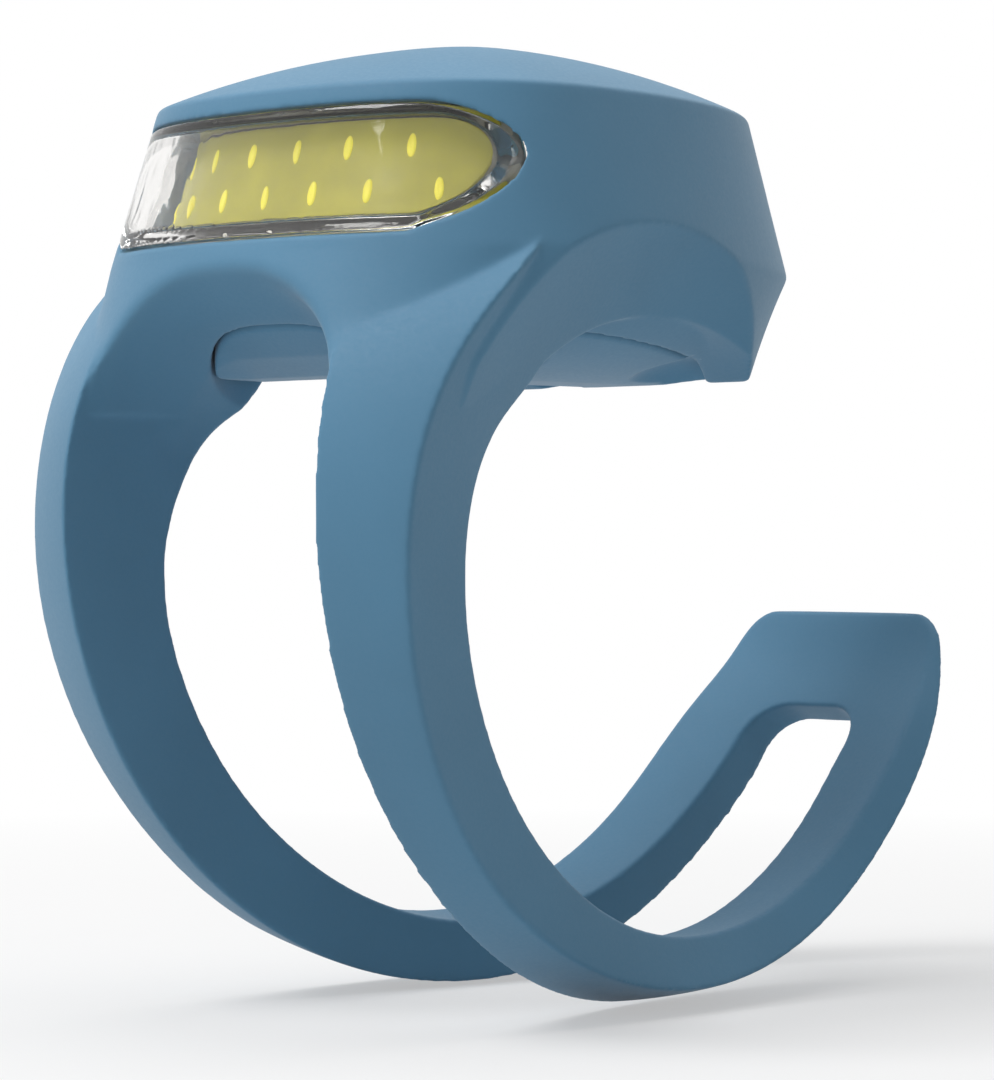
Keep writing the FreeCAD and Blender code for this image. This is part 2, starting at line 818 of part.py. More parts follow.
def draw_circle(sketch, y, radius):
    """Circle centred across the bar at a place along the bicycle."""
    circle = Part.Circle(Vector(0, y[0], 0), Vector(0, 0, 1), radius[0])
    sketch.addGeometry(circle, False)
    for kind, terms in (("DistanceX", (0.0, "0")), ("DistanceY", y)):
        place = sketch.addConstraint(Sketcher.Constraint(kind, -1, 1, 0, 3, terms[0]))
        sketch.setExpression(f"Constraints[{place}]", terms[1])
    place = sketch.addConstraint(Sketcher.Constraint("Radius", 0, radius[0]))
    sketch.setExpression(f"Constraints[{place}]", radius[1])
    return sketch


def pad(body, sketch, length):
    feature = body.newObject("PartDesign::Pad", f"{body.Name}_pad")
    feature.Profile = sketch
    feature.setExpression("Length", length[1])
    return feature


def pocket(body, sketch, length, towards_normal):
    feature = body.newObject("PartDesign::Pocket", f"{body.Name}_pocket")
    feature.Profile = sketch
    feature.Reversed = towards_normal
    feature.setExpression("Length", length[1])
    return feature


def centred(alias):
    return total(**{alias: -0.5}), total(**{alias: 0.5})


def board_side(share):
    """A share of the board's half width."""
    return total(ridge_half_width=share, pcb_side_inset=-share)


def board():
    right = [
        (board_side(0.7), total(pcb_front=-1.0)),
        (board_side(1.0), total(pcb_front=-0.76)),
        (board_side(1.0), total(pcb_front=-0.2)),
        (board_side(0.8), total(pcb_rear=0.3)),
        (board_side(0.54), total(pcb_rear=0.76)),
        (board_side(0.25), total(pcb_rear=1.0)),
    ]
    left = [((-x[0], f"-({x[1]})"), y) for x, y in reversed(right)]
    body = new_body("main_pcb")
    sketch = draw_polygon(sketch_on(body, "XY_Plane", total(pcb_z=1)), right + left)
    pad(body, sketch, total(pcb_thickness=1))


def board_parts():
    top = total(pcb_z=1, pcb_thickness=1)
    chip = total(chip_size=1)
    for label, side in (("charger_chip", 1), ("driver_chip", -1)):
        height = total(chip_height=1)
        keep(block(label, chip, chip, height, total(chip_x=side), total(chip_y=1), top), label)
    coil = total(coil_size=1)
    height = total(coil_height=1)
    keep(block("inductor", coil, coil, height, total(chip_x=-1), total(coil_y=1), top), "inductor")
    beacon = total(beacon_size=1)
    height = total(beacon_height=1)
    lamp_box = block("status_led", beacon, beacon, height, total(), total(beacon_y=1), top)
    keep(lamp_box, "status_led")
    for label, kind, count in (("capacitors", "capacitor", 4), ("resistors", "resistor", 6)):
        boxes = []
        for index in range(count):
            place = total(**{f"{kind}_pitch": index - (count - 1) / 2})
            across = total(**{f"{kind}_width": 1})
            along = total(**{f"{kind}_length": 1})
            height = total(**{f"{kind}_height": 1})
            y = total(**{f"{kind}_y": 1})
            boxes.append(block(f"{kind}_{index + 1}", across, along, height, place, y, top))
        blocks(label, boxes)


def battery():
    pad_z = total(core_split_z=1)
    cell_z = total(core_split_z=1, pad_thickness=1)
    body = new_body("battery_cell")
    left, right = centred("cell_width")
    low = total(cell_y=1, cell_length=-0.5)
    high = total(cell_y=1, cell_length=0.5)
    sketch = draw_rectangle(sketch_on(body, "XY_Plane", cell_z), left, right, low, high)
    block_of_cell = pad(body, sketch, total(cell_height=1))
    DOC.recompute()
    uprights = []
    for index, edge in enumerate(block_of_cell.Shape.Edges, start=1):
        along = edge.tangentAt(edge.FirstParameter)
        if abs(along.z) > 0.9:
            uprights.append(f"Edge{index}")
    rounding = body.newObject("PartDesign::Fillet", "battery_cell_rounding")
    rounding.Base = (block_of_cell, uprights)
    rounding.setExpression("Radius", total(cell_corner=1)[1])
    width = total(cell_width=1, pad_margin=-2)
    length = total(cell_length=1, pad_margin=-2)
    y = total(cell_y=1)
    keep(block("battery_pad", width, length, total(pad_thickness=1), total(), y, pad_z), "battery_pad")
    strips = []
    for name, side in (("tab_right", 1), ("tab_left", -1)):
        y = total(cell_y=1, cell_length=-0.5, tab_thickness=-0.5)
        bottom = total(pcb_z=1, tab_drop=-1)
        thickness = total(tab_thickness=1)
        width = total(tab_width=1)
        strips.append(block(name, width, thickness, total(tab_drop=1), total(tab_x=side), y, bottom))
    blocks("battery_tabs", strips)


def charging_port():
    body = new_body("usb_socket")
    left, right = centred("port_width")
    low = total(pcb_z=1, port_height=-1)
    high = total(pcb_z=1)
    mouth = total(port_rear=-1)
    sketch = draw_rectangle(sketch_on(body, "XZ_Plane", mouth), left, right, low, high)
    pad(body, sketch, total(port_length=1))
    inner_left = total(port_width=-0.5, port_wall=1)
    inner_right = total(port_width=0.5, port_wall=-1)
    inner_low = total(pcb_z=1, port_height=-1, port_wall=1)
    inner_high = total(pcb_z=1, port_wall=-1)
    hollow = sketch_on(body, "XZ_Plane", mouth)
    draw_rectangle(hollow, inner_left, inner_right, inner_low, inner_high)
    pocket(body, hollow, total(port_length=1, port_wall=-1), True)
    y = total(port_rear=1, port_length=-1, port_wall=1, tongue_length=0.5)
    z = total(pcb_z=1, port_height=-0.5, tongue_height=-0.5)
    length = total(tongue_length=1)
    height = total(tongue_height=1)
    tongue = block("usb_tongue", total(tongue_width=1), length, height, total(), y, z)
    keep(tongue, "usb_tongue")


def power_switch():
    y = total(switch_y=1)
    board_top = total(pcb_z=1, pcb_thickness=1)
    switch_top = total(pcb_z=1, pcb_thickness=1, switch_height=1)
    body = new_body("tactile_switch")
    left, right = centred("switch_width")
    low = total(switch_y=1, switch_width=-0.5)
    high = total(switch_y=1, switch_width=0.5)
    sketch = draw_rectangle(sketch_on(body, "XY_Plane", board_top), left, right, low, high)
    pad(body, sketch, total(switch_height=1))
    bore_sketch = sketch_on(body, "XY_Plane", switch_top)
    draw_circle(bore_sketch, y, total(stem_radius=1, stem_gap=1))
    pocket(body, bore_sketch, total(switch_bore_depth=1), False)
    stem = DOC.addObject("Part::Cylinder", "switch_stem")
    bind(stem, Radius=total(stem_radius=1), Height=total(stem_height=1, stem_depth=1))
    stem.setExpression("Placement.Base.y", y[1])
    stem_bottom = total(pcb_z=1, pcb_thickness=1, switch_height=1, stem_depth=-1)
    stem.setExpression("Placement.Base.z", stem_bottom[1])
    keep(stem, "switch_stem")
    key = new_body("power_key")
    post_z = total(pcb_z=1, pcb_thickness=1, switch_height=1, stem_height=1)
    post_height = total(
        crest_z=1, key_flange_drop=-1, pcb_z=-1, pcb_thickness=-1, switch_height=-1, stem_height=-1,
    )
    flange_z = total(crest_z=1, key_flange_drop=-1)
    flange_top = total(crest_z=1, key_flange_drop=-1, key_flange_height=1)
    cap_height = total(key_flange_drop=1, key_top_drop=-1, key_flange_height=-1)
    flange_height = total(key_flange_height=1)
    for z, radius, height in (
        (flange_z, total(key_flange_radius=1), flange_height),
        (flange_top, total(key_radius=1), cap_height),
        (post_z, total(key_post_radius=1), post_height),
    ):
        pad(key, draw_circle(sketch_on(key, "XY_Plane", z), y, radius), height)


# The whole object


def hollowed(label, outer_volume):
    """A pocket that cut air instead of its piece would leave the full volume."""
    body = DOC.getObject(label)
    if body.Shape.Volume > outer_volume - 0.5:
        raise RuntimeError(f"{label} was not hollowed")


def verify():
    for obj in DOC.Objects:
        if "Invalid" in obj.State or "Error" in obj.State:
            raise RuntimeError(f"{obj.Name} failed: {obj.State}")
    for node in NODES:
        if node.Shape.isNull() or not node.Shape.isValid() or not node.Shape.Solids:
            raise RuntimeError(f"{node.Label} has no sound shape")
    hollowed("usb_socket", size("port_width") * size("port_length") * size("port_height"))
    hollowed("tactile_switch", size("switch_width") ** 2 * size("switch_height"))


fill_sheet()
part_moulding()
shaped("core_shell", core_shell())
shaped("cover_seal", seal_ring())
shaped("lower_cover", lower_cover())
lamp()
board()
board_parts()
battery()
charging_port()
power_switch()
DOC.recompute()
verify()
os.makedirs("parts", exist_ok=True)
for node in NODES:
    node.Shape.exportStep(f"parts/{node.Label}.step")
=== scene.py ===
import math

import bmesh
import bpy
from mathutils import Matrix, Vector
from mathutils.bvhtree import BVHTree


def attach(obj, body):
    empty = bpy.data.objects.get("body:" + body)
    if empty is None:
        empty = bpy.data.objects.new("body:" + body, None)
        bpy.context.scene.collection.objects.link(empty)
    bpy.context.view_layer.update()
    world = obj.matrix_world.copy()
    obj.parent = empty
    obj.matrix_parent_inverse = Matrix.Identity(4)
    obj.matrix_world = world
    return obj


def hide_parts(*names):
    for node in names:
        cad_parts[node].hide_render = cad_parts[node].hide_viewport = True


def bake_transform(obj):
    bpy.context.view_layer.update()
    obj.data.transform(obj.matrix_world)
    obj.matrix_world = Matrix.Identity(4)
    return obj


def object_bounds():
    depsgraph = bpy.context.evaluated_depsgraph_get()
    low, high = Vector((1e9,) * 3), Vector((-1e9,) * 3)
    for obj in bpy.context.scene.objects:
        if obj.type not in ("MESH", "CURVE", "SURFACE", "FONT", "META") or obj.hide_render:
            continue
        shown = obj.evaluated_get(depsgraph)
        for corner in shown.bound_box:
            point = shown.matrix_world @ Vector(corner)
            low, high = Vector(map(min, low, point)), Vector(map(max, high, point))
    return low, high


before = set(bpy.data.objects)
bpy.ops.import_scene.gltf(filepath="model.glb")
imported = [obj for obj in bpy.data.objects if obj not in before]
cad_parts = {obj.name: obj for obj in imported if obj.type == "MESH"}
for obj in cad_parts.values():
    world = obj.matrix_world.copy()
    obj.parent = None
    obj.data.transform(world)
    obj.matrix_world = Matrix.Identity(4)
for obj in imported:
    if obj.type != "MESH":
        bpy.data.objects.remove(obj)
cad_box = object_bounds()

bl_info = {
    "name": "Bicycle headlight",
    "version": (1, 0, 0),
    "blender": (4, 5, 0),
    "location": "View3D > Sidebar > Headlight",
    "description": "Dresses the bicycle headlight's frame with its pieces, finishes and stage",
    "category": "Object",
}

MM = 0.001
WHITE = (1.0, 1.0, 1.0, 1.0)

# Vertices of the CAD's triangles that stand closer than this are one
WELD = 0.002 * MM

SILICONE_NODES = ("head_sleeve", "right_leg", "left_leg", "strap_bends", "strap_hook")

FLOOR_WIDTH = 6.0
FLOOR_DROP = 0.2 * MM
KEY_PLACE = (-0.10, -0.24, 0.33)
KEY_WIDTH = 0.20
TOP_PLACE = (-0.02, 0.03, 0.34)
TOP_WIDTH = 0.32
VIEW_DIRECTION = (-0.70710, 0.70711, -0.0018)
SENSOR_WIDTH = 36.0
NEAREST_SEEN = 0.01


class HeadlightSizes(bpy.types.PropertyGroup):
    skin_voxel: bpy.props.FloatProperty(
        name="Skin voxel", description="Grain of the moulding's remeshed skin, in millimetres", default=0.1,
    )
    skin_rounds: bpy.props.IntProperty(
        name="Skin rounds", description="Smoothing rounds that soften the moulding's edges", default=32,
    )
    skin_triangles: bpy.props.IntProperty(
        name="Skin triangles", description="Triangles that the finished skin is thinned to", default=190000,
    )
    plate_voxel: bpy.props.FloatProperty(
        name="Plate voxel", description="Grain of the remeshed lens, lamp panel and cover, in millimetres",
        default=0.1,
    )
    plate_rounds: bpy.props.IntProperty(
        name="Plate rounds", description="Smoothing rounds of the lens, the lamp panel and the cover",
        default=14,
    )
    plate_triangles: bpy.props.IntProperty(
        name="Plate triangles", description="Triangles that each of those three is thinned to",
        default=60000,
    )
    roll_rounds: bpy.props.IntProperty(
        name="Roll rounds", description="Smoothing rounds of the chin's lower edge", default=380,
    )
    roll_middle: bpy.props.FloatVectorProperty(
        name="Roll middle", description="Middle of the chin's lower edge", default=(0.0, -0.0215, 0.0143),
        subtype="XYZ", unit="LENGTH",
    )
    roll_reach: bpy.props.FloatVectorProperty(
        name="Roll reach", description="How far the soft edge reaches on each axis",
        default=(0.0115, 0.0042, 0.0036), subtype="XYZ", unit="LENGTH",
    )
    mark_width: bpy.props.FloatProperty(
        name="Mark width", description="Width of a raised mark on the lamp panel", default=0.00046,
        subtype="DISTANCE", unit="LENGTH",
    )
    mark_height: bpy.props.FloatProperty(
        name="Mark height", description="Height of a raised mark on the lamp panel", default=0.00125,
        subtype="DISTANCE", unit="LENGTH",
    )
    mark_relief: bpy.props.FloatProperty(
        name="Mark relief", description="How far a mark stands off the lamp panel", default=0.00012,
        subtype="DISTANCE", unit="LENGTH",
    )
    camera_place: bpy.props.FloatVectorProperty(
        name="Camera place", description="Where the camera stands", default=(0.1440, -0.145656, 0.003499),
        subtype="XYZ", unit="LENGTH",
    )
    camera_lens: bpy.props.FloatProperty(
        name="Camera lens", description="Focal length in millimetres", default=129.9,
        subtype="DISTANCE_CAMERA",
    )
    key_power: bpy.props.FloatProperty(
        name="Key light", description="Power of the soft light ahead, in watts", default=1.15,
    )
    top_power: bpy.props.FloatProperty(
        name="Top light", description="Power of the soft light above, in watts", default=0.6,
    )
    room_strength: bpy.props.FloatProperty(
        name="Room light", description="Strength of the even light from all round", default=0.26,
    )
    shadow_reach: bpy.props.FloatProperty(
        name="Shadow reach", description="Where the floor's shading has faded to white", default=0.14,
        subtype="DISTANCE", unit="LENGTH",
    )


class HeadlightColours(bpy.types.PropertyGroup):
    silicone: bpy.props.FloatVectorProperty(
        name="Silicone", description="Blue of the soft moulding", default=(0.085, 0.224, 0.354),
        subtype="COLOR", size=3,
    )
    phosphor: bpy.props.FloatVectorProperty(
        name="Phosphor", description="Yellow-olive of the lamp panel", default=(0.46, 0.43, 0.035),
        subtype="COLOR", size=3,
    )
    mark: bpy.props.FloatVectorProperty(
        name="Marks", description="Bright yellow of the marks on the panel", default=(0.80, 0.72, 0.05),
        subtype="COLOR", size=3,
    )
    lens: bpy.props.FloatVectorProperty(
        name="Lens", description="Tint of the clear lens", default=(0.96, 0.95, 0.93),
        subtype="COLOR", size=3,
    )
    floor: bpy.props.FloatVectorProperty(
        name="Floor", description="Pale floor", default=(0.80, 0.80, 0.80), subtype="COLOR", size=3,
    )


def sizes():
    """The add-on's sizes."""
    return bpy.context.scene.headlight_sizes


def colours():
    """The add-on's colours."""
    return bpy.context.scene.headlight_colours


# Shader helpers


def new_material(name):
    """A material with its nodes, its links and its main shader."""
    material = bpy.data.materials.new(name)
    material.use_nodes = True
    nodes = material.node_tree.nodes
    return material, nodes, material.node_tree.links, nodes["Principled BSDF"]


def place_in_millimetres(nodes, links, texture, stretch=(1.0, 1.0, 1.0)):
    """Lay a texture on object coordinates, with the millimetre as its unit."""
    place = nodes.new("ShaderNodeTexCoord")
    mapping = nodes.new("ShaderNodeMapping")
    mapping.inputs["Scale"].default_value = [factor / MM for factor in stretch]
    links.new(place.outputs["Object"], mapping.inputs["Vector"])
    links.new(mapping.outputs["Vector"], texture.inputs["Vector"])


def noise(nodes, links, scale, detail, stretch=(1.0, 1.0, 1.0)):
    """Noise on object coordinates, its scale in grains per millimetre."""
    texture = nodes.new("ShaderNodeTexNoise")
    texture.inputs["Scale"].default_value = scale
    texture.inputs["Detail"].default_value = detail
    place_in_millimetres(nodes, links, texture, stretch)
    return texture


def ramp(nodes, links, source, low, high):
    """A colour between two others, led by the middle range of a texture."""
    node = nodes.new("ShaderNodeValToRGB")
    node.color_ramp.elements[0].position = 0.3
    node.color_ramp.elements[1].position = 0.7
    node.color_ramp.elements[0].color = (*low, 1.0)
    node.color_ramp.elements[1].color = (*high, 1.0)
    links.new(source, node.inputs["Fac"])
    return node.outputs["Color"]


def bump(nodes, links, height, shader, strength, distance):
    """Relief that follows a texture."""
    node = nodes.new("ShaderNodeBump")
    node.inputs["Strength"].default_value = strength
    node.inputs["Distance"].default_value = distance
    links.new(height, node.inputs["Height"])
    links.new(node.outputs["Normal"], shader.inputs["Normal"])


def shade(colour, factor):
    """A lighter or darker tone of a colour."""
    return tuple(min(1.0, channel * factor) for channel in colour)


def grained(name, colour, rough, grain, spread=0.08, metallic=0.0, relief=0.02, stretch=(1.0, 1.0, 1.0)):
    """A finish whose colour, roughness and relief vary with a fine grain."""
    material, nodes, links, shader = new_material(name)
    texture = noise(nodes, links, grain, 6.0, stretch)
    tone = ramp(nodes, links, texture.outputs["Fac"], shade(colour, 1 - spread), shade(colour, 1 + spread))
    links.new(tone, shader.inputs["Base Color"])
    low = (max(rough - 0.07, 0.02),) * 3
    high = (min(rough + 0.07, 1.0),) * 3
    gloss = ramp(nodes, links, texture.outputs["Fac"], low, high)
    links.new(gloss, shader.inputs["Roughness"])
    shader.inputs["Metallic"].default_value = metallic
    bump(nodes, links, texture.outputs["Fac"], shader, 0.35, relief * MM)
    return material


def silicone_finish(name, colour):
    """Matte silicone: broad faint mottling, a fine tooth and a soft bloom at grazing angles."""
    material, nodes, links, shader = new_material(name)
    broad = noise(nodes, links, 0.09, 3.0)
    fine = noise(nodes, links, 5.0, 8.0)
    tone = ramp(nodes, links, broad.outputs["Fac"], shade(colour, 0.95), shade(colour, 1.05))
    links.new(tone, shader.inputs["Base Color"])
    gloss = ramp(nodes, links, fine.outputs["Fac"], (0.56,) * 3, (0.70,) * 3)
    links.new(gloss, shader.inputs["Roughness"])
    shader.inputs["Specular IOR Level"].default_value = 0.35
    shader.inputs["Sheen Weight"].default_value = 0.18
    shader.inputs["Sheen Roughness"].default_value = 0.45
    bump(nodes, links, fine.outputs["Fac"], shader, 0.25, 0.012 * MM)
    return material


def lens_finish(name, colour):
    """Clear polycarbonate with faint flow waves."""
    material, nodes, links, shader = new_material(name)
    waves = noise(nodes, links, 0.25, 2.0)
    shader.inputs["Base Color"].default_value = (*colour, 1.0)
    shader.inputs["Transmission Weight"].default_value = 1.0
    shader.inputs["IOR"].default_value = 1.49
    gloss = ramp(nodes, links, waves.outputs["Fac"], (0.015,) * 3, (0.05,) * 3)
    links.new(gloss, shader.inputs["Roughness"])
    bump(nodes, links, waves.outputs["Fac"], shader, 0.15, 0.03 * MM)
    return material


def phosphor_finish(name, colour, painted_glow):
    """Yellow-olive phosphor gel with a mottled face and a slight painted glow: emission that stands in for
    light on the panel.
    """
    material, nodes, links, shader = new_material(name)
    cloud = noise(nodes, links, 0.35, 5.0)
    tone = ramp(nodes, links, cloud.outputs["Fac"], shade(colour, 0.86), shade(colour, 1.16))
    links.new(tone, shader.inputs["Base Color"])
    links.new(tone, shader.inputs["Emission Color"])
    # Painted glow: emission in the panel's own colours that brightens it beyond the light falling on it
    shader.inputs["Emission Strength"].default_value = painted_glow
    gloss = ramp(nodes, links, cloud.outputs["Fac"], (0.30,) * 3, (0.45,) * 3)
    links.new(gloss, shader.inputs["Roughness"])
    bump(nodes, links, cloud.outputs["Fac"], shader, 0.3, 0.05 * MM)
    return material


def board_finish(name):
    """Green solder mask over copper runs."""
    material, nodes, links, shader = new_material(name)
    runs = nodes.new("ShaderNodeTexBrick")
    runs.inputs["Scale"].default_value = 0.8
    runs.inputs["Mortar Size"].default_value = 0.045
    runs.inputs["Color1"].default_value = (0.010, 0.085, 0.036, 1.0)
    runs.inputs["Color2"].default_value = (0.013, 0.100, 0.042, 1.0)
    runs.inputs["Mortar"].default_value = (0.030, 0.190, 0.080, 1.0)
    place_in_millimetres(nodes, links, runs)
    links.new(runs.outputs["Color"], shader.inputs["Base Color"])
    gloss = ramp(nodes, links, runs.outputs["Fac"], (0.28,) * 3, (0.42,) * 3)
    links.new(gloss, shader.inputs["Roughness"])
    bump(nodes, links, runs.outputs["Fac"], shader, 0.4, 0.03 * MM)
    return material


# Mesh helpers


def use_only(obj):
    """Make one object the only selected and active one."""
    bpy.ops.object.select_all(action="DESELECT")
    obj.select_set(True)
    bpy.context.view_layer.objects.active = obj


def merged_copy(node, name):
    """A copy of a CAD node's mesh with its loose triangles joined."""
    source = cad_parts[node]
    copy = bpy.data.objects.new(name, source.data.copy())
    bpy.context.scene.collection.objects.link(copy)
    copy.data.transform(source.matrix_world)
    use_only(copy)
    bpy.ops.object.mode_set(mode="EDIT")
    bpy.ops.mesh.select_all(action="SELECT")
    bpy.ops.mesh.remove_doubles(threshold=WELD)
    bpy.ops.mesh.normals_make_consistent(inside=False)
    bpy.ops.object.mode_set(mode="OBJECT")
    return copy


def dress(obj, material):
    """Give an object one material."""
    obj.data.materials.clear()
    obj.data.materials.append(material)


def modified(obj, name, kind, **settings):
    """Add a modifier with its settings and apply it."""
    use_only(obj)
    modifier = obj.modifiers.new(name, kind)
    for setting, value in settings.items():
        setattr(modifier, setting, value)
    bpy.ops.object.modifier_apply(modifier=modifier.name)


def roll_zone(obj):
    """Mark the chin's lower edge on a mesh in millimetres: full within half the reach, then fading."""
    middle = Vector(sizes().roll_middle) / MM
    reach = Vector(sizes().roll_reach) / MM
    zone = obj.vertex_groups.new(name="Chin roll")
    for vertex in obj.data.vertices:
        apart = vertex.co - middle
        away = Vector((apart.x / reach.x, apart.y / reach.y, apart.z / reach.z)).length
        if away < 1.0:
            zone.add([vertex.index], min(1.0, 2.0 - 2.0 * away), "REPLACE")
    return zone.name


def remoulded(obj, voxel, rounds, triangles, roll_rounds=0):
    """Give a piece one even surface with softly rounded edges; roll_rounds rolls the chin's edge."""
    obj.data.transform(Matrix.Scale(1.0 / MM, 4))
    modified(obj, "Grain", "REMESH", mode="VOXEL", voxel_size=voxel)
    modified(obj, "Soften", "SMOOTH", factor=0.5, iterations=rounds)
    if roll_rounds:
        modified(obj, "Roll", "SMOOTH", factor=0.5, iterations=roll_rounds, vertex_group=roll_zone(obj))
    triangles_now = 2 * len(obj.data.polygons)
    share = min(1.0, triangles / triangles_now)
    modified(obj, "Thin", "DECIMATE", decimate_type="COLLAPSE", ratio=share)
    obj.data.transform(Matrix.Scale(MM, 4))
    bpy.ops.object.shade_smooth()


def moulded_piece(node, name, material):
    """Stand in for the lens, the lamp panel or the cover with one smoothly curved surface."""
    piece = merged_copy(node, name)
    remoulded(piece, sizes().plate_voxel, sizes().plate_rounds, sizes().plate_triangles)
    dress(piece, material)
    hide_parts(node)
    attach(piece, "light")
    return piece


class HEADLIGHT_OT_skin(bpy.types.Operator):
    """Join the silicone nodes into one soft-edged moulding"""

    bl_idname = "headlight.skin"
    bl_label = "Silicone skin"

    def execute(self, context):
        parts = [merged_copy(node, f"{node}_part") for node in SILICONE_NODES]
        skin = parts[0]
        skin.name = "silicone_skin"
        for part in parts[1:]:
            modified(skin, "Join", "BOOLEAN", operation="UNION", solver="EXACT", object=part)
            bpy.data.objects.remove(part)
        grain = sizes().skin_voxel
        remoulded(skin, grain, sizes().skin_rounds, sizes().skin_triangles, sizes().roll_rounds)
        dress(skin, silicone_finish("silicone_blue", tuple(colours().silicone)))
        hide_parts(*SILICONE_NODES)
        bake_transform(skin)
        return {"FINISHED"}


class HEADLIGHT_OT_cover(bpy.types.Operator):
    """Dress the underside cover in the moulding's blue"""

    bl_idname = "headlight.cover"
    bl_label = "Underside cover"

    def execute(self, context):
        finish = silicone_finish("cover_blue", shade(tuple(colours().silicone), 1.04))
        moulded_piece("lower_cover", "underside_cover", finish)
        return {"FINISHED"}


def die_places():
    """The middle of each lamp die behind the panel, row by row from the lowest."""
    copy = merged_copy("led_dies", "die_places")
    mesh = bmesh.new()
    mesh.from_mesh(copy.data)
    unseen = set(mesh.verts)
    places = []
    while unseen:
        die = set()
        found = [unseen.pop()]
        while found:
            vertex = found.pop()
            die.add(vertex)
            for link in vertex.link_edges:
                other = link.other_vert(vertex)
                if other in unseen:
                    unseen.remove(other)
                    found.append(other)
        places.append(sum((vertex.co for vertex in die), Vector()) / len(die))
    mesh.free()
    bpy.data.objects.remove(copy)
    return sorted(places, key=lambda place: (round(place.z, 4), place.x))


def panel_mark(name, place, normal, material):
    """A small raised oval on the lamp panel, with a dimple in its middle."""
    width = sizes().mark_width
    height = sizes().mark_height
    relief = sizes().mark_relief
    dimple_depth = 0.45
    dimple_spread = 0.03
    bpy.ops.object.select_all(action="DESELECT")
    bpy.ops.mesh.primitive_uv_sphere_add(segments=24, ring_count=12, radius=0.5)
    mark = bpy.context.active_object
    mark.name = name
    across = Vector((0.0, 0.0, 1.0)).cross(normal).normalized()
    upward = normal.cross(across)
    for vertex in mark.data.vertices:
        x, y, z = vertex.co
        dimple = 1.0 - dimple_depth * math.exp(-(x * x + y * y) / dimple_spread)
        local = Vector((x * width, y * height, 2.0 * z * dimple * relief))
        vertex.co = place + across * local.x + upward * local.y + normal * local.z
    use_only(mark)
    bpy.ops.object.shade_smooth()
    dress(mark, material)
    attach(mark, "light")


class HEADLIGHT_OT_window(bpy.types.Operator):
    """Dress the lens, the lamp panel and the marks that show on the panel"""

    bl_idname = "headlight.window"
    bl_label = "Window"

    def execute(self, context):
        clear = lens_finish("lens_clear", tuple(colours().lens))
        moulded_piece("lens", "clear_lens", clear)
        # The lamp panel and its marks get a painted glow, 0.18 and 0.5
        gel = phosphor_finish("phosphor_gel", tuple(colours().phosphor), painted_glow=0.18)
        panel = moulded_piece("phosphor_panel", "lamp_panel", gel)
        bright = phosphor_finish("mark_yellow", tuple(colours().mark), painted_glow=0.5)
        surface = BVHTree.FromObject(panel, context.evaluated_depsgraph_get())
        rearward = Vector((0.0, 1.0, 0.0))
        for index, place in enumerate(die_places()):
            ahead = Vector((place.x, cad_box[0][1] - MM, place.z))
            hit, normal, _, _ = surface.ray_cast(ahead, rearward)
            if hit is None:
                raise RuntimeError(f"mark {index} misses the lamp panel")
            panel_mark(f"panel_mark_{index}", hit, normal, bright)
        return {"FINISHED"}


class HEADLIGHT_OT_inside(bpy.types.Operator):
    """Give every inner piece its finish"""

    bl_idname = "headlight.inside"
    bl_label = "Inner pieces"

    def execute(self, context):
        black = grained("chip_black", (0.018, 0.018, 0.019), 0.55, 6.0, 0.25)
        rubber = grained("seal_black", (0.022, 0.022, 0.022), 0.75, 4.0, 0.15)
        core = grained("core_grey", (0.40, 0.40, 0.38), 0.45, 3.0, 0.06)
        steel = grained("drawn_steel", (0.55, 0.55, 0.56), 0.3, 2.0, 0.1, 1.0, 0.01, (1.0, 0.1, 1.0))
        finishes = {
            "core_shell": core,
            "power_key": core,
            "lens_seal": rubber,
            "cover_seal": rubber,
            "charger_chip": black,
            "driver_chip": black,
            "resistors": black,
            "tactile_switch": black,
            "usb_tongue": black,
            "usb_socket": steel,
            "battery_tabs": steel,
            "led_dies": grained("die_yellow", (0.80, 0.72, 0.06), 0.3, 3.0, 0.1),
            "led_board": grained("board_white", (0.70, 0.70, 0.68), 0.45, 2.0, 0.05),
            "led_flex": grained("ribbon_amber", (0.55, 0.21, 0.03), 0.35, 2.0, 0.1),
            "main_pcb": board_finish("board_green"),
            "inductor": grained("ferrite_grey", (0.07, 0.07, 0.075), 0.7, 5.0, 0.25),
            "status_led": grained("status_white", (0.82, 0.82, 0.76), 0.25, 2.0, 0.04),
            "capacitors": grained("ceramic_tan", (0.34, 0.21, 0.11), 0.5, 5.0, 0.12),
            "battery_cell": grained("cell_foil", (0.55, 0.56, 0.58), 0.38, 1.2, 0.08, 0.9, 0.03),
            "battery_pad": grained("foam_dark", (0.03, 0.03, 0.032), 0.95, 7.0, 0.4, 0.0, 0.08),
            "switch_stem": grained("stem_white", (0.75, 0.75, 0.70), 0.5, 4.0, 0.05),
        }
        for node, finish in finishes.items():
            dress(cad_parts[node], finish)
        return {"FINISHED"}


def soft_light(name, place, width, power):
    """A square light that points at the handlebar axis."""
    data = bpy.data.lights.new(name, "AREA")
    data.shape = "SQUARE"
    data.size = width
    data.energy = power
    lamp = bpy.data.objects.new(name, data)
    bpy.context.scene.collection.objects.link(lamp)
    lamp.location = place
    direction = -Vector(place)
    lamp.rotation_euler = direction.to_track_quat("-Z", "Y").to_euler()


def larger(nodes, links, first, second):
    """The larger of two values."""
    node = nodes.new("ShaderNodeMath")
    node.operation = "MAXIMUM"
    links.new(first, node.inputs[0])
    links.new(second, node.inputs[1])
    return node.outputs["Value"]


def seen_directly(nodes, links):
    """One for rays from the camera or from glossy or clear surfaces, else zero."""
    path = nodes.new("ShaderNodeLightPath")
    plain = larger(nodes, links, path.outputs["Is Camera Ray"], path.outputs["Is Glossy Ray"])
    return larger(nodes, links, plain, path.outputs["Is Transmission Ray"])


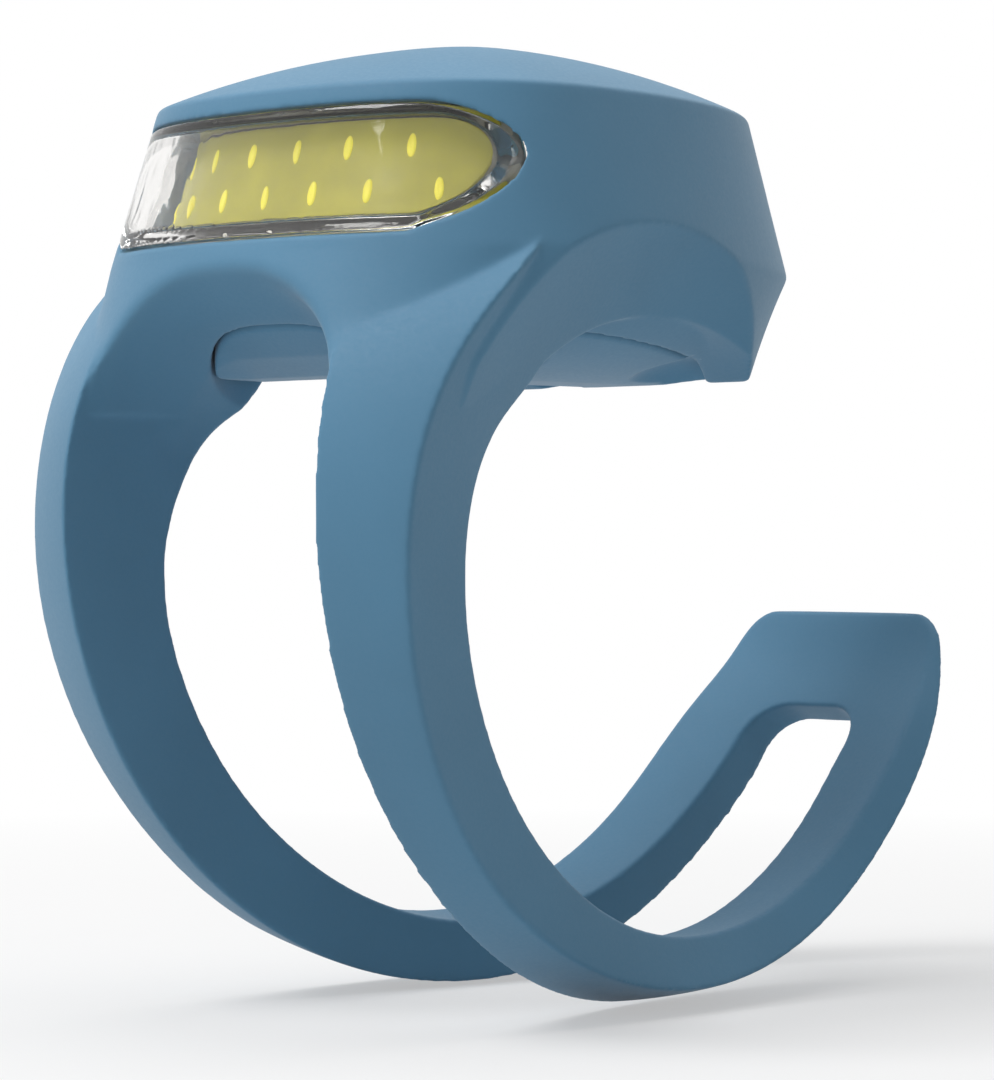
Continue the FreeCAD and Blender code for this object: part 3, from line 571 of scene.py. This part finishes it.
def mixed(nodes, links, share, first, second):
    """A mix of two shaders, by a number or by a node's value."""
    node = nodes.new("ShaderNodeMixShader")
    if isinstance(share, float):
        node.inputs["Fac"].default_value = share
    else:
        links.new(share, node.inputs["Fac"])
    links.new(first, node.inputs[1])
    links.new(second, node.inputs[2])
    return node.outputs["Shader"]


def floor_finish(name, colour):
    """Pale paper that keeps the shadow under the object and fades to white further out."""
    white_share = 0.45
    fade_start = 0.3 * sizes().shadow_reach
    material, nodes, links, shader = new_material(name)
    grain = noise(nodes, links, 0.02, 4.0)
    tone = ramp(nodes, links, grain.outputs["Fac"], shade(colour, 0.99), shade(colour, 1.01))
    links.new(tone, shader.inputs["Base Color"])
    shader.inputs["Roughness"].default_value = 0.9
    white = nodes.new("ShaderNodeEmission")
    place = nodes.new("ShaderNodeTexCoord")
    reach = nodes.new("ShaderNodeVectorMath")
    reach.operation = "LENGTH"
    links.new(place.outputs["Object"], reach.inputs[0])
    fade = nodes.new("ShaderNodeMapRange")
    fade.inputs["From Min"].default_value = fade_start
    fade.inputs["From Max"].default_value = sizes().shadow_reach
    links.new(reach.outputs["Value"], fade.inputs["Value"])
    near = mixed(nodes, links, white_share, shader.outputs["BSDF"], white.outputs["Emission"])
    shown = mixed(nodes, links, fade.outputs["Result"], near, white.outputs["Emission"])
    direct = seen_directly(nodes, links)
    both = mixed(nodes, links, direct, shader.outputs["BSDF"], shown)
    links.new(both, nodes["Material Output"].inputs["Surface"])
    return material


def studio_world(name):
    """Even light from all round, with white behind the object."""
    world = bpy.data.worlds.new(name)
    world.use_nodes = True
    nodes = world.node_tree.nodes
    links = world.node_tree.links
    room = nodes["Background"]
    room.inputs["Color"].default_value = WHITE
    room.inputs["Strength"].default_value = sizes().room_strength
    white = nodes.new("ShaderNodeBackground")
    white.inputs["Color"].default_value = WHITE
    direct = seen_directly(nodes, links)
    both = mixed(nodes, links, direct, room.outputs["Background"], white.outputs["Background"])
    links.new(both, nodes["World Output"].inputs["Surface"])
    return world


def photo_camera(name):
    """The camera that sees the light as the photo shows it."""
    data = bpy.data.cameras.new(name)
    data.lens = sizes().camera_lens
    data.sensor_width = SENSOR_WIDTH
    data.clip_start = NEAREST_SEEN
    camera = bpy.data.objects.new(name, data)
    bpy.context.scene.collection.objects.link(camera)
    camera.location = sizes().camera_place
    camera.rotation_euler = Vector(VIEW_DIRECTION).to_track_quat("-Z", "Y").to_euler()
    return camera


class HEADLIGHT_OT_stage(bpy.types.Operator):
    """Set up the pale floor, the soft light and the camera"""

    bl_idname = "headlight.stage"
    bl_label = "Stage"

    def execute(self, context):
        bpy.ops.object.select_all(action="DESELECT")
        bpy.ops.mesh.primitive_plane_add(size=FLOOR_WIDTH, location=(0.0, 0.0, 0.0))
        floor = context.active_object
        floor.name = "pale_floor"
        floor.location = (0.0, 0.0, cad_box[0][2] - FLOOR_DROP)
        dress(floor, floor_finish("floor_paper", tuple(colours().floor)))
        context.scene.world = studio_world("Studio")
        soft_light("key_ahead", KEY_PLACE, KEY_WIDTH, sizes().key_power)
        soft_light("top_above", TOP_PLACE, TOP_WIDTH, sizes().top_power)
        context.scene.camera = photo_camera("photo_camera")
        context.scene.view_settings.view_transform = "Standard"
        return {"FINISHED"}


class HEADLIGHT_PT_panel(bpy.types.Panel):
    bl_label = "Headlight"
    bl_idname = "HEADLIGHT_PT_panel"
    bl_space_type = "VIEW_3D"
    bl_region_type = "UI"
    bl_category = "Headlight"

    def draw(self, context):
        for step in STEPS:
            self.layout.operator(step.bl_idname)


STEPS = (
    HEADLIGHT_OT_skin,
    HEADLIGHT_OT_cover,
    HEADLIGHT_OT_window,
    HEADLIGHT_OT_inside,
    HEADLIGHT_OT_stage,
)
CLASSES = (HeadlightSizes, HeadlightColours, *STEPS, HEADLIGHT_PT_panel)


def register():
    for item in CLASSES:
        bpy.utils.register_class(item)
    bpy.types.Scene.headlight_sizes = bpy.props.PointerProperty(type=HeadlightSizes)
    bpy.types.Scene.headlight_colours = bpy.props.PointerProperty(type=HeadlightColours)


def unregister():
    del bpy.types.Scene.headlight_colours
    del bpy.types.Scene.headlight_sizes
    for item in reversed(CLASSES):
        bpy.utils.unregister_class(item)


def main():
    register()
    bpy.ops.headlight.skin()
    bpy.ops.headlight.cover()
    bpy.ops.headlight.window()
    bpy.ops.headlight.inside()
    bpy.ops.headlight.stage()


if __name__ == "__main__":
    main()
